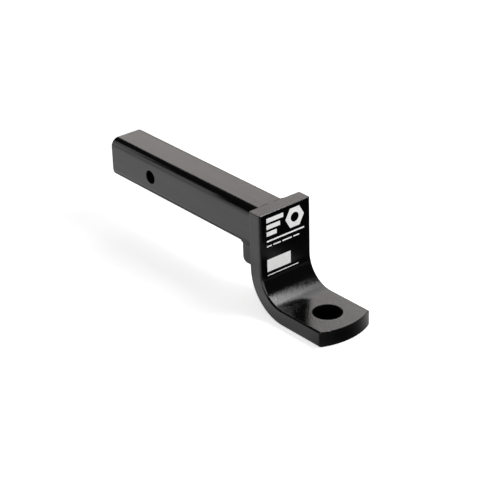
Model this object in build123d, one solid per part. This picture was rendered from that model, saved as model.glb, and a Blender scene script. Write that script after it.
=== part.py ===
from build123d import *
from math import atan, degrees
import os

# Ball mount for a 2 in receiver: a square tube shank, a flat bar bent down to the
# ball platform, a gusset block under the shank, the weld beads and a label.
# The origin is the centre of the hitch pin hole, on the shank's axis.
# +X runs along the shank towards the ball, +Z is up. All sizes are in millimetres.

# Shank
tube_size = 50.8
tube_wall = 6.35
tube_corner_radius = 10.4
pin_to_tube_end = 79.1
pin_to_bar = 201.6
pin_hole_radius = 8.4
pin_hole_break = 0.35
tube_end_break = 0.8

# Bent flat bar
bar_width = 76.2
bar_thickness = 19.05
bar_edge_radius = 2.8
bar_above_tube = 6.2
platform_drop = 100.4
bend_inner_radius = 34.9
bar_to_ball = 89.4
ball_to_nose = 37.4
nose_radius = 80.6
ball_hole_radius = 16.67
ball_hole_break = 1.0
cut_end_break = 0.5

# Gusset block, in the corner between the shank and the back of the bar
gusset_width = 38.1
gusset_length = 34.7
gusset_depth = 26.0
gusset_corner_radius = 6.5

# Weld beads
shank_weld_height = 5.6
shank_weld_length = 8.0
shank_weld_knee_up = 4.4
shank_weld_knee_out = 3.2
gusset_weld_leg = 3.2

# Label and its printed shapes, on the bar's front face
label_width = 65.0
label_height = 77.5
label_corner_radius = 3.0
label_below_top = 2.4
label_film = 0.25
ink_film = 0.1

# Printed shapes: distances in from the label's sides, down from its top or up from its foot
print_margin = 4.5
motif_down = 14.7
ring_radius = 14.0
ring_hole_radius = 6.0
stack_rows = 3
stack_gap = 3.0
stack_step = 5.0
stack_height = 5.5
stack_pitch = 8.5
rule_down = 32.2
rule_height = 2.0
dash_down = 38.7
dash_height = 1.6
dash_lengths = (7.0, 11.0, 14.0, 9.0)
dash_gap = 2.5
panel_in = 4.5
panel_up = 14.3
panel_length = 35.0
panel_height = 15.5
fine_rule_up = 2.3
fine_rule_length = 46.0
fine_rule_height = 0.9

# Places worked out from the sizes above
half_tube = tube_size / 2
bar_back_x = pin_to_bar
bar_front_x = bar_back_x + bar_thickness
bar_top_z = half_tube + bar_above_tube
platform_z = half_tube - platform_drop
ball_x = bar_back_x + bar_to_ball
nose_x = ball_x + ball_to_nose
label_top_z = bar_top_z - label_below_top
label_foot_z = label_top_z - label_height


def tube_outline(grow=0.0):
    """The shank's rounded square section, moved out by grow all round."""
    size = tube_size + 2 * grow
    return RectangleRounded(size, size, tube_corner_radius + grow)


def make_shank():
    """A square tube with a pin hole across it; its front end butts on the bar."""
    back = Plane.YZ.offset(-pin_to_tube_end)
    section = tube_outline() - tube_outline(-tube_wall)
    tube = extrude(back * section, pin_to_tube_end + pin_to_bar)
    back_edges = tube.faces().sort_by(Axis.X)[0].outer_wire().edges()
    tube = chamfer(back_edges, tube_end_break)
    tube -= Rot(90, 0, 0) * Cylinder(pin_hole_radius, 2 * tube_size)
    rims = [
        edge
        for edge in tube.edges().filter_by(GeomType.CIRCLE)
        if abs(abs(edge.center(CenterOf.BOUNDING_BOX).Y) - half_tube) < 0.01
    ]
    return chamfer(rims, pin_hole_break)


def make_drawbar():
    """A flat bar bent once, from the shank's end down and out to the nose."""
    middle_x = bar_back_x + bar_thickness / 2
    middle_z = platform_z - bar_thickness / 2
    path = FilletPolyline(
        (middle_x, 0, bar_top_z),
        (middle_x, 0, middle_z),
        (nose_x, 0, middle_z),
        radius=bend_inner_radius + bar_thickness / 2,
    )
    top = Plane(origin=path @ 0, x_dir=(1, 0, 0), z_dir=path % 0)
    section = top * RectangleRounded(bar_thickness, bar_width, bar_edge_radius)
    bar = sweep(section, path=path)
    bar = chamfer(bar.faces().sort_by(Axis.Z)[-1].edges(), cut_end_break)

    nose_centre_x = nose_x - nose_radius
    swing = Pos(nose_centre_x, 0, middle_z) * Cylinder(nose_radius, 4 * bar_thickness)
    beyond = Pos(nose_centre_x, 0, middle_z) * Box(
        2 * nose_radius, 2 * bar_width, 3 * bar_thickness, align=(Align.MIN, Align.CENTER, Align.CENTER)
    )
    bar -= beyond - swing
    bar = chamfer(bar.faces().sort_by(Axis.X)[-1].edges(), cut_end_break)

    bar -= Pos(ball_x, 0, middle_z) * Cylinder(ball_hole_radius, 2 * bar_thickness)
    rims = [
        edge
        for edge in bar.edges().filter_by(GeomType.CIRCLE)
        if abs(edge.radius - ball_hole_radius) < 0.01
    ]
    return chamfer(rims, ball_hole_break)


def make_gusset_block():
    """A solid block with its lower back edge rounded off."""
    block = Pos(bar_back_x, 0, -half_tube) * Box(
        gusset_length, gusset_width, gusset_depth, align=(Align.MAX, Align.CENTER, Align.MAX)
    )
    cross_edges = block.edges().filter_by(Axis.Y)
    lower_back_edge = cross_edges.sort_by(lambda edge: edge.center().X + edge.center().Z)[0]
    return fillet(lower_back_edge, gusset_corner_radius)


def shank_envelope():
    """The shank with its hollow filled, for cutting the beads to its outside."""
    at_end = Plane.YZ.offset(-pin_to_tube_end)
    return extrude(at_end * tube_outline(), pin_to_tube_end + pin_to_bar)


def make_shank_weld(block):
    """The full bead round the shank where it meets the bar, stopped at the block."""
    at_bar = Plane(origin=(bar_back_x, 0, 0), x_dir=(0, -1, 0), z_dir=(-1, 0, 0))
    at_knee = at_bar.offset(shank_weld_knee_out)
    inner_taper = degrees(atan((shank_weld_height - shank_weld_knee_up) / shank_weld_knee_out))
    outer_taper = degrees(atan(shank_weld_knee_up / (shank_weld_length - shank_weld_knee_out)))
    inner = extrude(at_bar * tube_outline(shank_weld_height), shank_weld_knee_out, taper=inner_taper)
    outer = extrude(
        at_knee * tube_outline(shank_weld_knee_up), shank_weld_length - shank_weld_knee_out, taper=outer_taper
    )
    return inner + outer - shank_envelope() - block


def make_gusset_weld(block, bar, shank_weld):
    """The beads round the block, along the shank's underside and down the bar."""
    leg = gusset_weld_leg
    shoulder = Plane(origin=(bar_back_x + leg, 0, leg - half_tube), x_dir=(1, 0, 0), z_dir=(0, 0, -1))
    footprint = Rectangle(gusset_length + 2 * leg, gusset_width + 2 * leg, align=(Align.MAX, Align.CENTER))
    along_shank = extrude(shoulder * footprint, 2 * leg, taper=degrees(atan(0.5)))

    at_bar = Plane(origin=(bar_back_x, 0, leg - half_tube), x_dir=(0, -1, 0), z_dir=(-1, 0, 0))
    around = Rectangle(gusset_width + 2 * leg, gusset_depth + 2 * leg, align=(Align.CENTER, Align.MAX))
    outline = at_bar * around
    down_bar = extrude(outline, leg, taper=45)
    root = extrude(outline, -leg)
    return along_shank + down_bar + root - shank_envelope() - block - bar - shank_weld


def front_space(gap):
    """The space in front of the bar's vertical leg and bend, from a gap off its face."""
    reach = nose_x - bar_front_x
    height = bar_top_z - platform_z
    corner = Plane.XZ * (
        Pos(bar_front_x + gap, platform_z + gap) * Rectangle(reach, height, align=(Align.MIN, Align.MIN))
    )
    inner_corner = corner.vertices().sort_by(lambda point: point.X + point.Z)[0]
    return extrude(fillet(inner_corner, bend_inner_radius - gap), bar_width / 2, both=True)


def film(outlines, first, last):
    """Flat outlines laid on the bar's front face, between two heights off it."""
    behind = Plane.YZ.offset(bar_back_x)
    prisms = extrude(behind * outlines, bar_thickness + bend_inner_radius)
    return prisms & (front_space(first) - front_space(last))


def make_label():
    """A film that runs down the front face and a little way round the bend."""
    outline = Pos(0, label_top_z - label_height / 2) * RectangleRounded(
        label_width, label_height, label_corner_radius
    )
    return film(outline, 0, label_film)


def make_label_print():
    """A hexagon ring, stacked bars, a rule, short dashes, a blank panel and a fine rule."""
    left = -label_width / 2 + print_margin
    right = label_width / 2 - print_margin
    motif_z = label_top_z - motif_down
    ring_y = right - ring_radius
    shapes = [Pos(ring_y, motif_z) * (RegularPolygon(ring_radius, 6) - Circle(ring_hole_radius))]

    def add_strip(start_y, middle_z, length, height):
        strip = Rectangle(length, height, align=(Align.MIN, Align.CENTER))
        shapes.append(Pos(start_y, middle_z) * strip)

    longest = ring_y - ring_radius - stack_gap - left
    for row in range(stack_rows):
        row_z = motif_z + ((stack_rows - 1) / 2 - row) * stack_pitch
        add_strip(left, row_z, longest - row * stack_step, stack_height)
    add_strip(left, label_top_z - rule_down, right - left, rule_height)
    dash_y = left
    for length in dash_lengths:
        add_strip(dash_y, label_top_z - dash_down, length, dash_height)
        dash_y += length + dash_gap
    add_strip(panel_in - label_width / 2, label_foot_z + panel_up, panel_length, panel_height)
    add_strip(left, label_foot_z + fine_rule_up, fine_rule_length, fine_rule_height)
    return Compound(children=[film(shape, label_film, label_film + ink_film) for shape in shapes])


drawbar = make_drawbar()
gusset_block = make_gusset_block()
shank_weld = make_shank_weld(gusset_block)
parts = {
    "shank": make_shank(),
    "drawbar": drawbar,
    "gusset_block": gusset_block,
    "shank_weld": shank_weld,
    "gusset_weld": make_gusset_weld(gusset_block, drawbar, shank_weld),
    "label": make_label(),
    "label_print": make_label_print(),
}

os.makedirs("parts", exist_ok=True)
for name, solid in parts.items():
    export_step(solid, f"parts/{name}.step")
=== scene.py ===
import math
import random

import bmesh
import bpy
from mathutils import Matrix, Vector


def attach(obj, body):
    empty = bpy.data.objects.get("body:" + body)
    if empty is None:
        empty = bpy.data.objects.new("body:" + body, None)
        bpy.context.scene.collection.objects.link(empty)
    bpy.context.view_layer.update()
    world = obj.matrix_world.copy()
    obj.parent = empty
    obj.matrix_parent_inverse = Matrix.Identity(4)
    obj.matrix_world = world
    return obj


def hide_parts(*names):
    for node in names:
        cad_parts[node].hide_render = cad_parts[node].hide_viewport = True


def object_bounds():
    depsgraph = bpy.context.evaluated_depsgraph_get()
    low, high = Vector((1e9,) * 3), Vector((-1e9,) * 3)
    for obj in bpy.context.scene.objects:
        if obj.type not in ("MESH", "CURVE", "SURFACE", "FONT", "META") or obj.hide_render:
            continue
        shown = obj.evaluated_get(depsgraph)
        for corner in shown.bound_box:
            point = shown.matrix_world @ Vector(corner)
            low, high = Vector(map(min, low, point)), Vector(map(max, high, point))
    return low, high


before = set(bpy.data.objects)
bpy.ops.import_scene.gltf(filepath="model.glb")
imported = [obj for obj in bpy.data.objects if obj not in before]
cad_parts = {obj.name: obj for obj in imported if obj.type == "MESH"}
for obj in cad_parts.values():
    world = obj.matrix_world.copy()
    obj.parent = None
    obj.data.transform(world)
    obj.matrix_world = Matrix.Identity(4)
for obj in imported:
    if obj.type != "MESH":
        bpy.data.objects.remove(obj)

MM = 0.001
cad_low, cad_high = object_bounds()

# Camera: where it looks from, round the look-at point, and how far it is slid sideways and up
LOOK_AT = Vector((100, 0, -20)) * MM
CAMERA_AZIMUTH = math.radians(-38.856)
CAMERA_ELEVATION = math.radians(27.521)
CAMERA_ROLL = math.radians(-1.868)
CAMERA_DISTANCE = 2008.96 * MM
CAMERA_SLIDE_RIGHT = 25.05 * MM
CAMERA_SLIDE_UP = -32.54 * MM
CAMERA_LENS = 126.85
CAMERA_SENSOR = 36.0
CAMERA_CLIP = (0.05, 100.0)

# Stage. A shade on the floor is a centre in mm, two distances from it, the brightness at each, and
# how distances along X and Y count. FLOOR_GLOW is what the camera sees on top of the lamps' light,
# so the floor is white but for the part's soft shadow. HOLE_SHADE is the dark under the ball hole.
# The paint mirrors the floor with MIRRORED_SHADES on it, for the light and dark fields that the
# photo has, and a dim room of WORLD_LEVEL round it.
FLOOR_SIZE = 30.0
FLOOR_DROP = 0.5 * MM
PAPER_WHITE = (0.8, 0.8, 0.8, 1)
PAPER_ROUGHNESS = 0.9
FLOOR_GLOW = ((100, 0), (600, 2500), (0.68, 1.0), (1, 1))
# HOLE_SHADE is a painted shadow: the floor is made black under the ball hole, for every ray.
HOLE_SHADE = ((291, 0), (20, 26), (0.0, 1.0), (1, 1))
# MIRRORED_SHADES are painted shade: darker patches of floor that only mirroring rays see, which give
# painted dark reflections.
MIRRORED_SHADES = {
    "before_nose": ((850, -60), (510, 570), (0.2, 1.0), (1, 1)),
    "close_to_nose": ((344, 0), (5, 60), (0.2, 1.0), (1, 1)),
    "facing_label": ((345, 325), (245, 265), (0.03, 1.0), (1, 1)),
    "facing_bend": ((850, 350), (400, 450), (0.2, 1.0), (1, 1)),
    "beside_block": ((100, -87), (15, 34), (0.72, 1.0), (0.6, 1)),
    "under_shank": ((20, -8), (42, 72), (0.25, 1.0), (0.22, 1)),
    "beside_platform": ((290, -60), (20, 110), (0.6, 1.0), (1, 1)),
    "far_behind": ((-200, 1300), (1010, 1090), (0.25, 1.0), (1, 1)),
    "painted_dark_far_off": ((200, 0), (1100, 1700), (1.0, 0.06), (1, 1)),
}
WORLD_LEVEL = 0.03

# Lamps: azimuth and elevation round the part in degrees, distance, width, height, brightness
LAMPS = {
    "back_box": (130, 25.5, 2.0, 1.45, 0.56, 1.62),
    "back_low": (130, 8, 2.0, 1.45, 0.65, 0.7),
    "back_high": (110, 46, 3.0, 2.3, 1.27, 1.8),
    "side_box": (222, 4, 1.2, 1.2, 0.5, 0.6),
    "front_fill": (340, 20, 2.2, 3.0, 2.0, 1.6),
}
WARM_LAMPS = ("back_box", "back_low")
WARM = (1.0, 0.95, 0.93)
NEUTRAL = (1, 1, 1)

# Near panels: centre, the way the unlit back faces, width, height, brightness
PANELS = {
    "over_front": ((0.43, 0.215, 0.44), (0, 0, 1), 0.24, 0.25, 8.5),
    "over_back": ((0.22, 0.225, 0.44), (0, 0, 1), 0.18, 0.27, 4.5),
    "side_card": ((-0.23, -0.092, 0.095), (0, -1, 0), 0.20, 0.13, 0.8),
    "side_card_low": ((-0.04, -0.092, 0.055), (0, -1, 0), 0.18, 0.05, 0.62),
}

# Noise: where most of its values lie. A pattern below is its features per metre, its detail and,
# for streaks, how distances along X, Y and Z count.
NOISE_SPAN = (0.3, 0.7)

# Gloss black paint: roughness, then the heights in mm of the orange peel and of the mottling
PAINTS = {
    "shank_paint": (0.14, 0.012, 0.06),
    "bar_paint": (0.12, 0.022, 0.14),
    "block_paint": (0.15, 0.018, 0.08),
    "weld_paint": (0.15, 0.018, 0.06),
}
PAINT_BLACK = (0.0012, 0.0012, 0.0012, 1)
PAINT_IOR = 1.58
PAINT_CLOUDS = (90.0, 4.0)
PAINT_CLOUD_SHARES = (0.85, 1.2)
PAINT_MOTTLE = (480.0, 3.0)
PAINT_PEEL = (1300.0, 2.0)
PAINT_STREAKS = (110.0, 3.0, (0.12, 1.0, 1.0))
PAINT_STREAK_LEVELS = (0.47, 0.53)

# Inside the shank, this near its axis, the paint is rougher and mirrors less
HOLLOW_PAINT = "shank_paint"
HALF_HOLLOW = 19.2 * MM
HOLLOW_ROUGHER = 0.45
HOLLOW_DULLER = 0.35

# Label film and ink
FILM_BLACK = (0.001, 0.001, 0.001, 1)
FILM_SPECULAR = 0.45
FILM_CLOUDS = (240.0, 3.0)
FILM_ROUGHNESS = (0.14, 0.22)
FILM_GRAIN = (2200.0, 2.0)
FILM_GRAIN_HEIGHT = 0.006 * MM
INK_THIN = (0.82, 0.82, 0.81, 1)
INK_FULL = (0.9, 0.9, 0.89, 1)
INK_ROUGHNESS = 0.5
INK_SPECULAR = 0.3
INK_LAY = (500.0, 4.0)
INK_GRAIN = (2600.0, 2.0)
INK_GRAIN_HEIGHT = 0.008 * MM

# The material slot of each CAD node
SLOTS = {
    "shank": "shank_paint",
    "drawbar": "bar_paint",
    "gusset_block": "block_paint",
    "shank_weld": "weld_paint",
    "gusset_weld": "weld_paint",
    "label": "label_film",
    "label_print": "label_ink",
}

# Shank, block and bar in mm, as the weld beads follow them
HALF_SHANK = 25.4
SHANK_CORNER = 10.4
BAR_BACK_X = 201.6
HALF_BLOCK = 19.05
BLOCK_LENGTH = 34.7
BLOCK_DEPTH = 26.0
BEND_START_Z = -40.1
BEND_OUTER = 53.95

# Beads: the two legs in mm, and how far the crown stands out
SHANK_BEAD = (5.6, 8.0, 1.25)
BLOCK_BEAD = (3.1, 2.6, 0.4)
BAR_BEAD = (3.0, 3.0, 0.4)
# Their mesh: steps along and across, and how deep the root and the toes are sunk
BEAD_STEP = 0.3
BEAD_ACROSS = 14
BEAD_ROOT = 0.5
BEAD_TOE_SINK = 0.12
# Their ripples: length, height, mean height of a wave, how far a ripple's middle trails, and how
# much the beat sways and over what length
RIPPLE_PITCH = 2.1
RIPPLE_HEIGHT = 0.3
RIPPLE_MEAN = 0.64
RIPPLE_LAG = 0.45
RIPPLE_SWAY = 0.25
RIPPLE_SWAY_LENGTH = 5.3
# Their toes: how much a leg wanders, and over which two lengths
WANDER = 0.05
WANDER_LENGTHS = (3.1, 7.7)
# Each bead draws this many random phases: one for its beat, two for each leg and a spare
PHASES = 6
SEED = 11


def direction(azimuth, elevation):
    """The unit vector at an azimuth and an elevation, both in radians."""
    level = math.cos(elevation)
    return Vector((level * math.cos(azimuth), level * math.sin(azimuth), math.sin(elevation)))


def make_camera():
    """A camera at the photo's viewing angle, level with a little roll."""
    back = direction(CAMERA_AZIMUTH, CAMERA_ELEVATION)
    level_right = (-back).cross(Vector((0, 0, 1))).normalized()
    level_up = level_right.cross(-back)
    right = math.cos(CAMERA_ROLL) * level_right + math.sin(CAMERA_ROLL) * level_up
    up = math.cos(CAMERA_ROLL) * level_up - math.sin(CAMERA_ROLL) * level_right
    eye = LOOK_AT + back * CAMERA_DISTANCE + right * CAMERA_SLIDE_RIGHT + up * CAMERA_SLIDE_UP
    data = bpy.data.cameras.new("camera")
    data.lens = CAMERA_LENS
    data.sensor_width = CAMERA_SENSOR
    data.clip_start, data.clip_end = CAMERA_CLIP
    camera = bpy.data.objects.new("camera", data)
    camera.matrix_world = Matrix.Translation(eye) @ Matrix((right, up, back)).transposed().to_4x4()
    bpy.context.scene.collection.objects.link(camera)
    bpy.context.scene.camera = camera


class Shading:
    """The nodes of a material or the world, with short ways to add and join them."""

    def __init__(self, owner):
        owner.use_nodes = True
        self.owner = owner
        self.nodes = owner.node_tree.nodes
        self.links = owner.node_tree.links

    def feed(self, socket, value):
        """Join an output to a socket, or set the socket's own value."""
        if isinstance(value, bpy.types.NodeSocket):
            self.links.new(value, socket)
        else:
            socket.default_value = value

    def set(self, node="Principled BSDF", **values):
        """Set a node's sockets, written with _ for a space."""
        for name, value in values.items():
            self.feed(self.nodes[node].inputs[name.replace("_", " ")], value)

    def place(self):
        return self.nodes.new("ShaderNodeTexCoord").outputs["Object"]

    def ray_kinds(self):
        """Whether a ray comes from the camera, from a mirroring surface or through a clear one."""
        path = self.nodes.new("ShaderNodeLightPath").outputs
        return path["Is Camera Ray"], path["Is Glossy Ray"], path["Is Transmission Ray"]

    def maths(self, operation, first, second, clamp=False):
        node = self.nodes.new("ShaderNodeMath")
        node.operation = operation
        node.use_clamp = clamp
        self.feed(node.inputs[0], first)
        self.feed(node.inputs[1], second)
        return node.outputs[0]

    def vector_maths(self, operation, first, second, result):
        node = self.nodes.new("ShaderNodeVectorMath")
        node.operation = operation
        self.feed(node.inputs[0], first)
        self.feed(node.inputs[1], second)
        return node.outputs[result]

    def span(self, value, source, target, smooth=False):
        """Map a value from one range to another, held at both ends."""
        node = self.nodes.new("ShaderNodeMapRange")
        node.interpolation_type = "SMOOTHSTEP" if smooth else "LINEAR"
        self.feed(node.inputs["Value"], value)
        for name, number in zip(("From Min", "From Max", "To Min", "To Max"), (*source, *target)):
            node.inputs[name].default_value = number
        return node.outputs["Result"]

    def noise(self, scale, detail, stretch=(1, 1, 1)):
        """Noise from 0 to 1; scale is in features per metre."""
        mapping = self.nodes.new("ShaderNodeMapping")
        mapping.inputs["Scale"].default_value = stretch
        self.links.new(self.place(), mapping.inputs["Vector"])
        node = self.nodes.new("ShaderNodeTexNoise")
        node.inputs["Scale"].default_value = scale
        node.inputs["Detail"].default_value = detail
        self.links.new(mapping.outputs[0], node.inputs["Vector"])
        return node.outputs["Fac"]

    def uneven(self, pattern, levels):
        """A value that a noise pattern moves between two levels."""
        return self.span(self.noise(*pattern), NOISE_SPAN, levels)

    def bump(self, height, distance, under=None):
        """A bump of a height map; distance is its full height in metres."""
        node = self.nodes.new("ShaderNodeBump")
        node.inputs["Strength"].default_value = 1.0
        node.inputs["Distance"].default_value = distance
        self.feed(node.inputs["Height"], height)
        if under is not None:
            self.links.new(under, node.inputs["Normal"])
        return node.outputs["Normal"]

    def mix_shaders(self, share, first, last):
        """Two shaders mixed by the share of the last; None is black."""
        node = self.nodes.new("ShaderNodeMixShader")
        self.links.new(share, node.inputs[0])
        for socket, shader in zip(node.inputs[1:], (first, last)):
            if shader is not None:
                self.links.new(shader, socket)
        return node.outputs[0]


def new_finish(name):
    return Shading(bpy.data.materials.new(name))


def floor_shade(paper, centre, reach, levels, stretch):
    """Brightness that changes with the distance from a point on the floor."""
    weights = (*stretch, 0)
    stretched = paper.vector_maths("MULTIPLY", paper.place(), weights, "Vector")
    middle = [part * weight * MM for part, weight in zip((*centre, 0), weights)]
    distance = paper.vector_maths("DISTANCE", stretched, middle, "Value")
    return paper.span(distance, [edge * MM for edge in reach], levels, smooth=True)


def floor_paper():
    """White paper that keeps the part's shadow, with painted shade under the ball hole and where
    mirrored.
    """
    paper = new_finish("floor_paper")
    paper.set(Base_Color=PAPER_WHITE, Roughness=PAPER_ROUGHNESS, Specular_IOR_Level=0.0)
    by_camera, by_mirror, through = paper.ray_kinds()

    mirrored = by_mirror
    for shade in MIRRORED_SHADES.values():
        mirrored = paper.maths("MULTIPLY", mirrored, floor_shade(paper, *shade))
    seen = paper.maths("MULTIPLY", by_camera, floor_shade(paper, *FLOOR_GLOW))
    seen = paper.maths("ADD", paper.maths("ADD", seen, mirrored), through)
    glow = paper.nodes.new("ShaderNodeEmission")
    paper.feed(glow.inputs["Strength"], seen)

    glowing_only = paper.maths("ADD", by_mirror, through, clamp=True)
    lit = paper.mix_shaders(glowing_only, paper.nodes["Principled BSDF"].outputs[0], None)
    both = paper.nodes.new("ShaderNodeAddShader")
    paper.links.new(lit, both.inputs[0])
    paper.links.new(glow.outputs[0], both.inputs[1])
    surface = paper.mix_shaders(floor_shade(paper, *HOLE_SHADE), None, both.outputs[0])
    paper.set("Material Output", Surface=surface)
    return paper.owner


def make_floor():
    """A flat floor just under the part."""
    half = FLOOR_SIZE / 2
    corners = [(-half, -half, 0), (half, -half, 0), (half, half, 0), (-half, half, 0)]
    mesh = bpy.data.meshes.new("floor")
    mesh.from_pydata(corners, [], [(0, 1, 2, 3)])
    mesh.materials.append(floor_paper())
    floor = bpy.data.objects.new("floor", mesh)
    floor.location.z = cad_low.z - FLOOR_DROP
    bpy.context.scene.collection.objects.link(floor)


def make_world():
    """A dim room that the camera sees as white."""
    world = Shading(bpy.data.worlds.new("studio"))
    by_camera, _, through = world.ray_kinds()
    seen = world.maths("MAXIMUM", by_camera, through)
    world.set("Background", Color=(*NEUTRAL, 1), Strength=world.maths("MAXIMUM", seen, WORLD_LEVEL))
    bpy.context.scene.world = world.owner


def make_softbox(name, location, away, width, height, level):
    """A soft rectangular lamp that shines against away; level is the brightness of its face."""
    data = bpy.data.lights.new(name, "AREA")
    data.shape = "RECTANGLE"
    data.size, data.size_y = width, height
    data.energy = level * math.pi * width * height
    data.color = WARM if name in WARM_LAMPS else NEUTRAL
    lamp = bpy.data.objects.new(name, data)
    lamp.location = location
    lamp.rotation_mode = "QUATERNION"
    lamp.rotation_quaternion = away.to_track_quat("Z", "Y")
    lamp.visible_camera = False
    bpy.context.scene.collection.objects.link(lamp)


def make_lamps():
    """Softboxes behind, beside and over the part, and a low fill in front."""
    for name, (azimuth, elevation, distance, *face) in LAMPS.items():
        away = direction(math.radians(azimuth), math.radians(elevation))
        make_softbox(name, LOOK_AT + away * distance, away, *face)
    for name, (place, away, *face) in PANELS.items():
        make_softbox(name, Vector(place), Vector(away), *face)


def in_hollow(paint):
    """1 near the shank's axis, and 0 elsewhere."""
    place = paint.nodes.new("ShaderNodeSeparateXYZ")
    paint.links.new(paint.place(), place.inputs[0])
    aside, aloft = (paint.maths("ABSOLUTE", place.outputs[axis], 0.0) for axis in ("Y", "Z"))
    return paint.maths("LESS_THAN", paint.maths("MAXIMUM", aside, aloft), HALF_HOLLOW)


def gloss_black(name, roughness, peel, mottle):
    """Gloss black paint: orange peel, mottling of the steel below and faint streaks of gloss."""
    paint = new_finish(name)
    roughness = paint.uneven(PAINT_CLOUDS, [roughness * share for share in PAINT_CLOUD_SHARES])
    specular = paint.uneven(PAINT_STREAKS, PAINT_STREAK_LEVELS)
    if name == HOLLOW_PAINT:
        inside = in_hollow(paint)
        roughness = paint.maths("ADD", roughness, paint.maths("MULTIPLY", inside, HOLLOW_ROUGHER))
        specular = paint.maths("SUBTRACT", specular, paint.maths("MULTIPLY", inside, HOLLOW_DULLER))
    normal = paint.bump(paint.noise(*PAINT_MOTTLE), mottle * MM)
    normal = paint.bump(paint.noise(*PAINT_PEEL), peel * MM, normal)
    paint.set(Base_Color=PAINT_BLACK, IOR=PAINT_IOR, Roughness=roughness)
    paint.set(Specular_IOR_Level=specular, Normal=normal)
    return paint.owner


def film_black():
    """Satin black label film with a fine grain."""
    film = new_finish("label_film")
    film.set(Base_Color=FILM_BLACK, Specular_IOR_Level=FILM_SPECULAR)
    film.set(Roughness=film.uneven(FILM_CLOUDS, FILM_ROUGHNESS))
    film.set(Normal=film.bump(film.noise(*FILM_GRAIN), FILM_GRAIN_HEIGHT))
    return film.owner


def ink_white():
    """White ink with a slightly uneven lay."""
    ink = new_finish("label_ink")
    tone = ink.nodes.new("ShaderNodeMix")
    tone.data_type = "RGBA"
    ink.feed(tone.inputs["Factor"], ink.uneven(INK_LAY, (0.0, 1.0)))
    ink.feed(tone.inputs["A"], INK_THIN)
    ink.feed(tone.inputs["B"], INK_FULL)
    ink.set(Base_Color=tone.outputs["Result"], Roughness=INK_ROUGHNESS, Specular_IOR_Level=INK_SPECULAR)
    ink.set(Normal=ink.bump(ink.noise(*INK_GRAIN), INK_GRAIN_HEIGHT))
    return ink.owner


def shank_outline(distance):
    """A point on the shank's outline and its outward normal, from the middle of the underside."""
    flat = HALF_SHANK - SHANK_CORNER
    arc = SHANK_CORNER * math.pi / 2
    side, along = divmod(distance + flat, 2 * flat + arc)
    if along < 2 * flat:
        y, z, turn = along - flat, -HALF_SHANK, 0.0
    else:
        turn = (along - 2 * flat) / SHANK_CORNER
        y, z = flat + SHANK_CORNER * math.sin(turn), -flat - SHANK_CORNER * math.cos(turn)
    quarter = side * math.pi / 2
    cos, sin = math.cos(quarter), math.sin(quarter)
    angle = turn + quarter
    return (y * cos - z * sin, y * sin + z * cos), (math.sin(angle), -math.cos(angle))


def shank_underside(y):
    """The height of the shank's lower surface at a distance y from its middle."""
    past = max(0.0, abs(y) - (HALF_SHANK - SHANK_CORNER))
    return -(HALF_SHANK - SHANK_CORNER) - math.sqrt(SHANK_CORNER ** 2 - past ** 2)


def bar_back(z):
    """Where the bar's back face is at a height z, past the start of its bend."""
    below = max(0.0, BEND_START_Z - z)
    return BAR_BACK_X + BEND_OUTER - math.sqrt(BEND_OUTER ** 2 - below ** 2)


def steps(length):
    """Shares of a length from 0 to 1, about a bead step apart."""
    count = max(2, round(length / BEAD_STEP))
    return [i / count for i in range(count + 1)]


def shank_bead_path():
    """Stations round the shank, from one side of the block to the other."""
    height, length, _ = SHANK_BEAD
    around = 8 * (HALF_SHANK - SHANK_CORNER) + 2 * math.pi * SHANK_CORNER
    start = HALF_BLOCK - BEAD_ROOT
    path = []
    for t in steps(around - 2 * start):
        (y, z), (out_y, out_z) = shank_outline(start + t * (around - 2 * start))
        root = Vector((BAR_BACK_X, y, z))
        path.append((root, root + Vector((0, out_y, out_z)) * height, root - Vector((length, 0, 0))))
    return path


def round_block(start, end, out):
    """Roots and ways out of a bead round three sides of the block, from start to end and back."""
    side, left, beyond = Vector((0, HALF_BLOCK, 0)), Vector((0, 1, 0)), (end - start).normalized()

    def turn(corner, first, last):
        quarters = [t * math.pi / 2 for t in steps(out)]
        return [(corner.copy(), first * math.cos(angle) + last * math.sin(angle)) for angle in quarters]

    along = steps((end - start).length)
    stations = [(start + side + (end - start) * t, left) for t in along]
    stations += turn(end + side, left, beyond)
    stations += [(end + side * (1 - 2 * t), beyond) for t in steps(2 * HALF_BLOCK)]
    stations += turn(end - side, beyond, -left)
    stations += [(end - side + (start - end) * t, -left) for t in along]
    return stations


def block_bead_path():
    """Stations along the shank's underside, round the block."""
    down, out, _ = BLOCK_BEAD
    start = Vector((BAR_BACK_X - SHANK_BEAD[1] / 2, 0, 0))
    end = Vector((BAR_BACK_X - BLOCK_LENGTH, 0, 0))
    path = []
    for root, way in round_block(start, end, out):
        root.z = shank_underside(root.y)
        toe = root + way * out
        toe.z = shank_underside(toe.y)
        path.append((root, root - Vector((0, 0, down)), toe))
    return path


def bar_bead_path():
    """Stations down the bar's back face, round the block."""
    back, out, _ = BAR_BEAD
    start = Vector((0, 0, -HALF_SHANK - SHANK_BEAD[0] / 2))
    end = Vector((0, 0, -HALF_SHANK - BLOCK_DEPTH))
    path = []
    for root, way in round_block(start, end, out):
        root.x = bar_back(root.z)
        toe = root + way * out
        toe.x = bar_back(toe.z)
        path.append((root, Vector((BAR_BACK_X - back, root.y, root.z)), toe))
    return path


def wander(travelled, phases):
    """A leg's length at a distance along its bead, as a share of its plain length."""
    waves = (math.sin(travelled / length + phase) for length, phase in zip(WANDER_LENGTHS, phases))
    return 1 + WANDER * (sum(waves) - 1)


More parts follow.
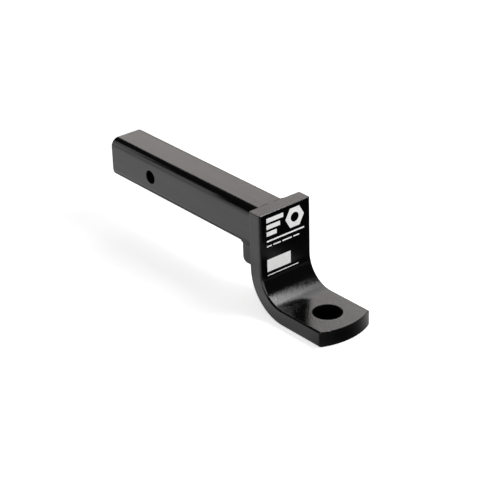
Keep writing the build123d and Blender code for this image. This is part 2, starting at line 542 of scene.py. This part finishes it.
def add_bead(mesh, path, crown, chance):
    """Add a rippled bead to a mesh: each station gives its root and the toes of its two legs."""
    phases = [chance.uniform(0, 2 * math.pi) for _ in range(PHASES)]
    rows = []
    travelled = 0.0
    previous = None
    for root, first_toe, last_toe in path:
        middle = (first_toe + last_toe) / 2
        if previous is not None:
            travelled += (middle - previous).length
        previous = middle
        out = (middle - root).normalized()
        sway = RIPPLE_SWAY * math.sin(travelled / RIPPLE_SWAY_LENGTH + phases[0])
        beat = travelled / RIPPLE_PITCH + sway
        first = root + (first_toe - root) * wander(travelled, phases[1:3])
        last = root + (last_toe - root) * wander(travelled, phases[3:5])
        row = []
        for j in range(BEAD_ACROSS + 1):
            t = j / BEAD_ACROSS
            belly = math.sin(math.pi * t)
            ripple = abs(math.sin(math.pi * (beat - RIPPLE_LAG * belly))) - RIPPLE_MEAN
            lift = crown * belly + RIPPLE_HEIGHT * ripple * math.sqrt(belly) - BEAD_TOE_SINK * (1 - belly)
            row.append(mesh.verts.new((first * (1 - t) + last * t + out * lift) * MM))
        row.append(mesh.verts.new((root - out * BEAD_ROOT) * MM))
        rows.append(row)
    for row, following in zip(rows, rows[1:]):
        for j in range(len(row)):
            k = (j + 1) % len(row)
            mesh.faces.new((row[j], row[k], following[k], following[j]))
    mesh.faces.new(rows[0])
    mesh.faces.new(reversed(rows[-1]))


def make_beads(name, node, beads, paint):
    """A piece of rippled weld beads in the place of a node's plain ones."""
    chance = random.Random(SEED + len(name))
    shape = bmesh.new()
    for path, crown in beads:
        add_bead(shape, path, crown, chance)
    bmesh.ops.recalc_face_normals(shape, faces=shape.faces)
    mesh = bpy.data.meshes.new(name)
    shape.to_mesh(mesh)
    shape.free()
    mesh.polygons.foreach_set("use_smooth", [True] * len(mesh.polygons))
    mesh.materials.append(paint)
    piece = bpy.data.objects.new(name, mesh)
    bpy.context.scene.collection.objects.link(piece)
    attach(piece, "root")
    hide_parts(node)


make_camera()
make_floor()
make_world()
make_lamps()

finishes = {name: gloss_black(name, *numbers) for name, numbers in PAINTS.items()}
finishes["label_film"] = film_black()
finishes["label_ink"] = ink_white()
for node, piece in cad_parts.items():
    piece.data.materials.clear()
    piece.data.materials.append(finishes[SLOTS[node]])

shank_beads = [(shank_bead_path(), SHANK_BEAD[2])]
block_beads = [(block_bead_path(), BLOCK_BEAD[2]), (bar_bead_path(), BAR_BEAD[2])]
make_beads("shank_bead", "shank_weld", shank_beads, finishes["weld_paint"])
make_beads("block_beads", "gusset_weld", block_beads, finishes["weld_paint"])

bpy.context.scene.view_settings.view_transform = "Standard"
